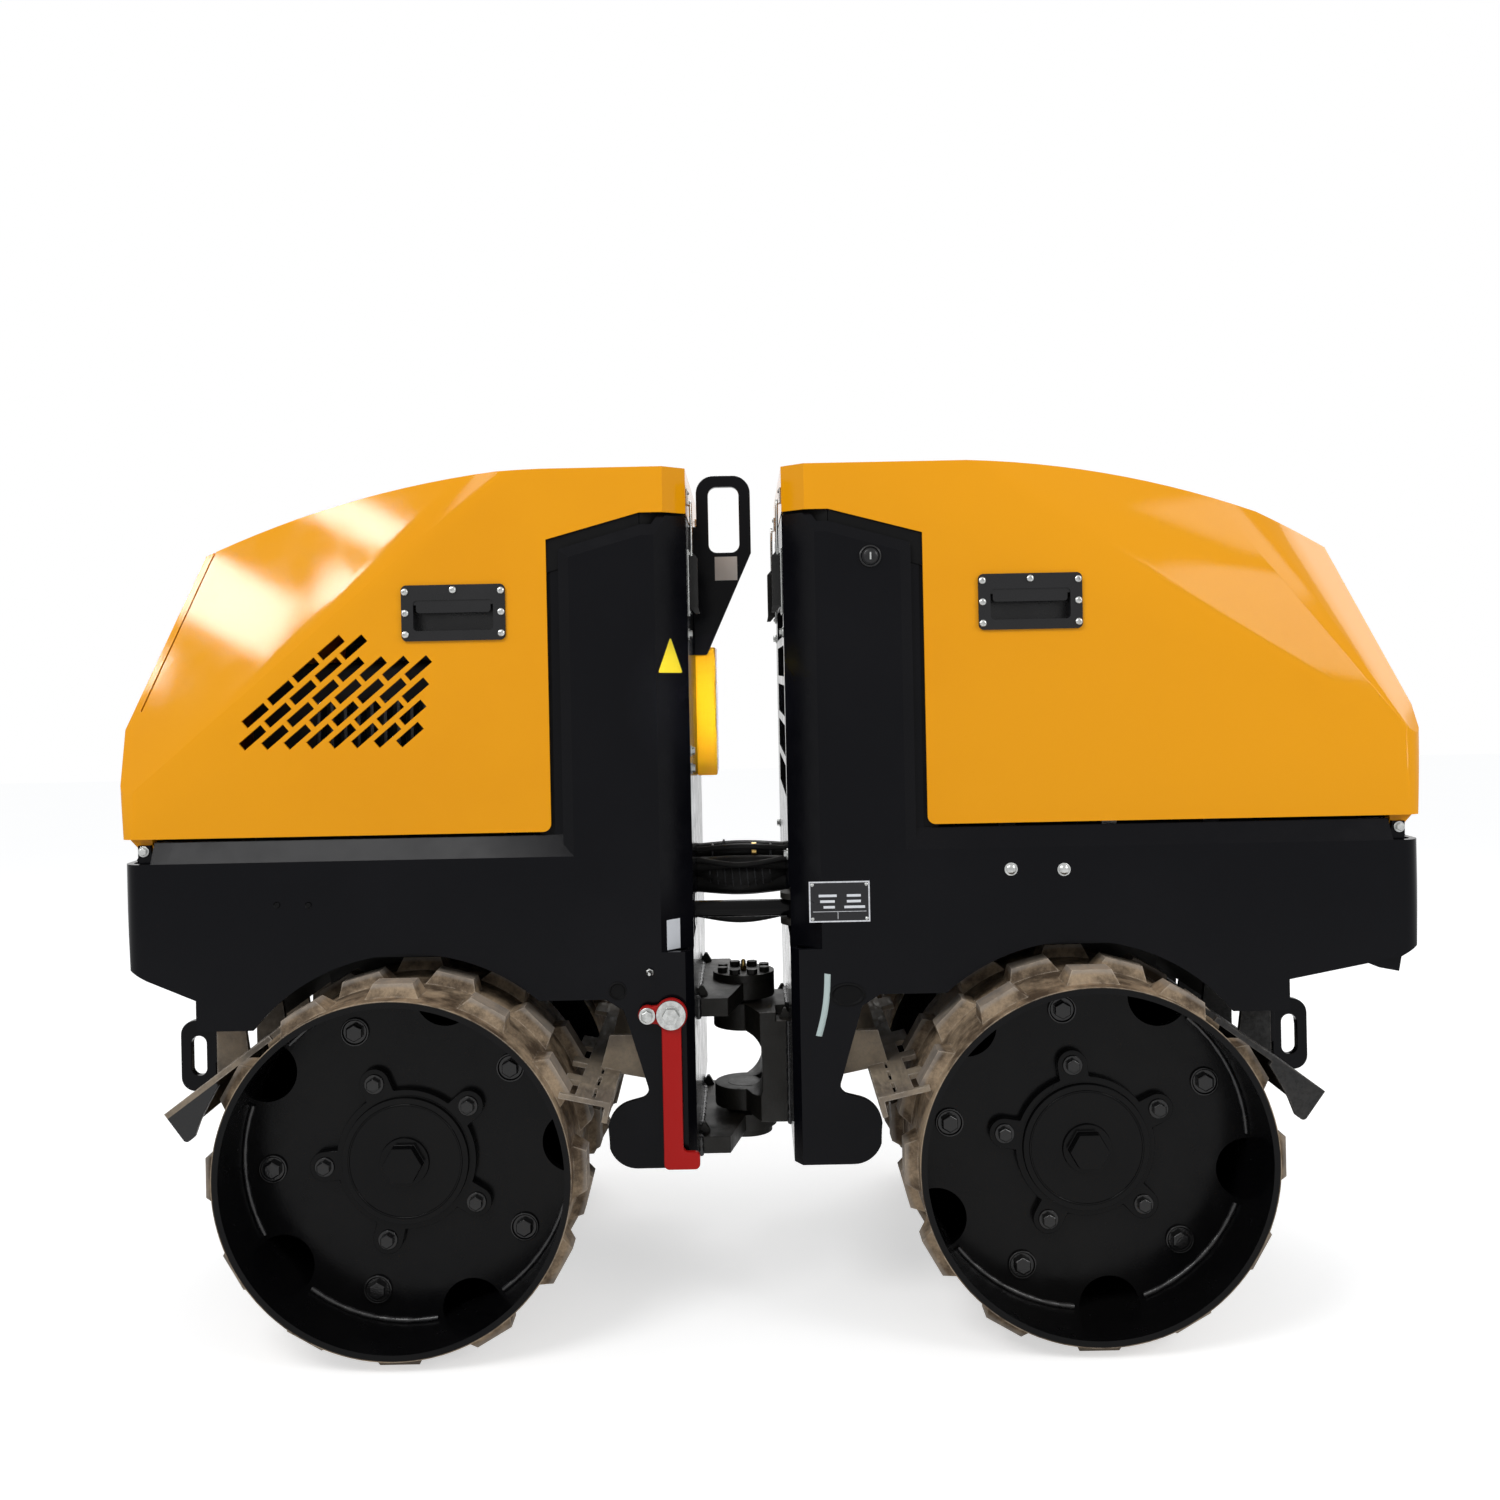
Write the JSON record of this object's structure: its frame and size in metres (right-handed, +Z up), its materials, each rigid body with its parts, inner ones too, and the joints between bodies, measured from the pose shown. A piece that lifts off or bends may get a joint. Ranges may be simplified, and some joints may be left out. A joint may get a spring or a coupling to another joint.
{
  "type": "articulated trench roller",
  "caption": "Compact articulated trench roller with pad-foot drums on both half frames, tilting hoods and a centre pivot steered by a hydraulic cylinder.",
  "frame": {"origin": "on the floor, under the middle of the machine's length and width", "axes": "+Z up, +X towards the front half, +Y towards the machine's left side"},
  "size_m": [1.974, 0.85, 1.316],
  "materials": {
    "drum_steel": "satin",
    "black_gloss": "gloss",
    "yellow_gloss": "gloss",
    "red_gloss": "gloss",
    "zinc": "satin",
    "chrome_rod": "gloss",
    "dark_metal": "matte",
    "hose_rubber": "matte"
  },
  "bodies": {
    "rear_half": {"rear_frame": "black_gloss", "rear_gear_housing": "black_gloss", "rear_tow_eyes": "black_gloss", "rear_outer_scraper": "black_gloss", "rear_inner_scraper": "black_gloss", "rear_hood_hinges": "black_gloss", "rear_hinge_lugs": "black_gloss", "hinge_pins": "black_gloss", "lifting_eye": "black_gloss", "lock_bar_bolt": "zinc", "receiver_box": "yellow_gloss", "hydraulic_hoses": "hose_rubber", "steering_anchor": "black_gloss", "engine_block": "dark_metal"},
    "front_half": {"front_frame": "black_gloss", "front_gear_housing": "black_gloss", "front_tow_eyes": "black_gloss", "front_outer_scraper": "black_gloss", "front_inner_scraper": "black_gloss", "front_hood_hinges": "black_gloss", "hinge_yoke": "black_gloss", "steering_clevis": "black_gloss", "hydraulic_tank": "black_gloss"},
    "rear_drums": {"rear_drum_right": "drum_steel", "rear_drum_left": "drum_steel", "rear_hub_cover_right": "black_gloss", "rear_hub_cover_left": "black_gloss", "rear_axle": "black_gloss"},
    "front_drums": {"front_drum_right": "drum_steel", "front_drum_left": "drum_steel", "front_hub_cover_right": "black_gloss", "front_hub_cover_left": "black_gloss", "front_axle": "black_gloss"},
    "rear_hood": {"rear_hood": "yellow_gloss", "rear_hood_handles": "black_gloss"},
    "front_hood": {"front_hood": "yellow_gloss", "front_hood_handles": "black_gloss"},
    "lock_bar": {"lock_bar": "red_gloss"},
    "steering_barrel": {"steering_barrel": "black_gloss"},
    "steering_rod": {"steering_rod": "chrome_rod"}
  },
  "joints": [
    {"name": "steer", "type": "hinge", "parent": "rear_half", "child": "front_half", "pos_m": [-0.047, 0, 0.4], "axis": [0, 0, 1], "range_deg": [-25, 25], "deforming": ["hydraulic_hoses"]},
    {"name": "rear_drums_turn", "type": "hinge", "parent": "rear_half", "child": "rear_drums", "pos_m": [-0.548, 0, 0.273], "axis": [0, 1, 0], "continuous": true},
    {"name": "front_drums_turn", "type": "hinge", "parent": "front_half", "child": "front_drums", "pos_m": [0.454, 0, 0.273], "axis": [0, 1, 0], "continuous": true},
    {"name": "rear_hood_tilt", "type": "hinge", "parent": "rear_half", "child": "rear_hood", "pos_m": [-0.943, 0, 0.73], "axis": [0, -1, 0], "range_deg": [0, 60]},
    {"name": "front_hood_tilt", "type": "hinge", "parent": "front_half", "child": "front_hood", "pos_m": [0.944, 0, 0.73], "axis": [0, 1, 0], "range_deg": [0, 60]},
    {"name": "lock_bar_swing", "type": "hinge", "parent": "rear_half", "child": "lock_bar", "pos_m": [-0.154, -0.316, 0.476], "axis": [0, -1, 0], "range_deg": [0, 90]},
    {"name": "steering_barrel_swing", "type": "hinge", "parent": "rear_half", "child": "steering_barrel", "pos_m": [-0.377, -0.195, 0.612], "axis": [0, 0, 1], "range_deg": [-6, 6]},
    {"name": "steering_rod_slide", "type": "slide", "parent": "steering_barrel", "child": "steering_rod", "axis": [1, 0, 0], "range_m": [-0.086, 0.086]}
  ],
  "couplings": [
    {"joint": "steering_barrel_swing", "follows": "steer", "ratio": 0.2086},
    {"joint": "steering_rod_slide", "follows": "steer", "m_per_rad": 0.1919}
  ]
}
